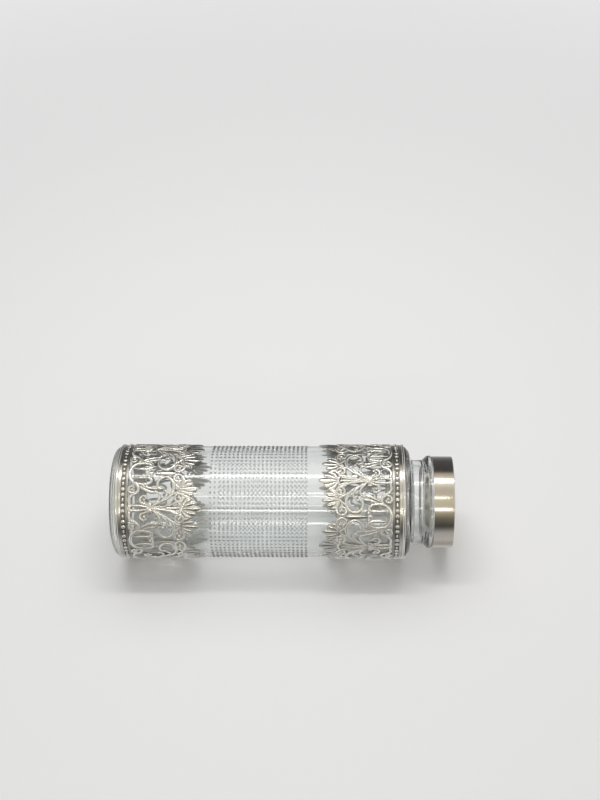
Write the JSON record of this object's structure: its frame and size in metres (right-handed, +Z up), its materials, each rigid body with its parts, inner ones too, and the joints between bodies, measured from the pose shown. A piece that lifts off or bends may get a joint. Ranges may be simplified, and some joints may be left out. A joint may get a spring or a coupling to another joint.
{
  "type": "rosewater sprinkler bottle",
  "caption": "Clear cylindrical glass rosewater bottle with openwork silver mounts at base and shoulder, a perforated push-in insert and a wide steel screw cap.",
  "frame": {"origin": "centre of the foot's rest plane, on the bottle's axis", "axes": "+Z up the bottle's axis from the foot to the cap; +X and +Y lie in the rest plane"},
  "size_m": [0.0852, 0.0852, 0.2495],
  "materials": {
    "clear_glass": "clear pressed glass, fire-polished, with rows of small raised dots round the middle",
    "antique_silver": "silver-plated openwork, polished on the high points and darkened in the recesses",
    "brushed_steel": "warm stainless steel, brushed round the axis",
    "white_plastic": "moulded, satin",
    "soft_liner": "soft sheet, matt"
  },
  "bodies": {
    "bottle": {"glass_bottle": "clear_glass", "base_rim_band": "antique_silver", "base_gallery": "antique_silver", "shoulder_rim_band": "antique_silver", "shoulder_gallery": "antique_silver"},
    "insert": {"sprinkler_plug": "white_plastic", "sprinkler_rose": "brushed_steel"},
    "seal": {"cap_seal_disc": "soft_liner"},
    "backing": {"cap_backing_disc": "soft_liner"},
    "cap": {"cap_threaded_core": "white_plastic", "cap_shell": "brushed_steel"}
  },
  "joints": [
    {"name": "insert_pull", "type": "slide", "parent": "bottle", "child": "insert", "axis": [0, 0, 1], "range_m": [0, 0.045]},
    {"name": "cap_lift_off", "type": "slide", "parent": "insert", "child": "seal", "axis": [0, 0, 1], "range_m": [0, 0.04]},
    {"name": "cap_rise", "type": "slide", "parent": "seal", "child": "backing", "axis": [0, 0, 1], "range_m": [0, 0.0051]},
    {"name": "cap_turn", "type": "hinge", "parent": "backing", "child": "cap", "pos_m": [0, 0, 0.2425], "axis": [0, 0, 1], "range_deg": [0, 450]}
  ],
  "couplings": [
    {"joint": "cap_rise", "follows": "cap_turn", "m_per_rad": 0.00063662}
  ]
}
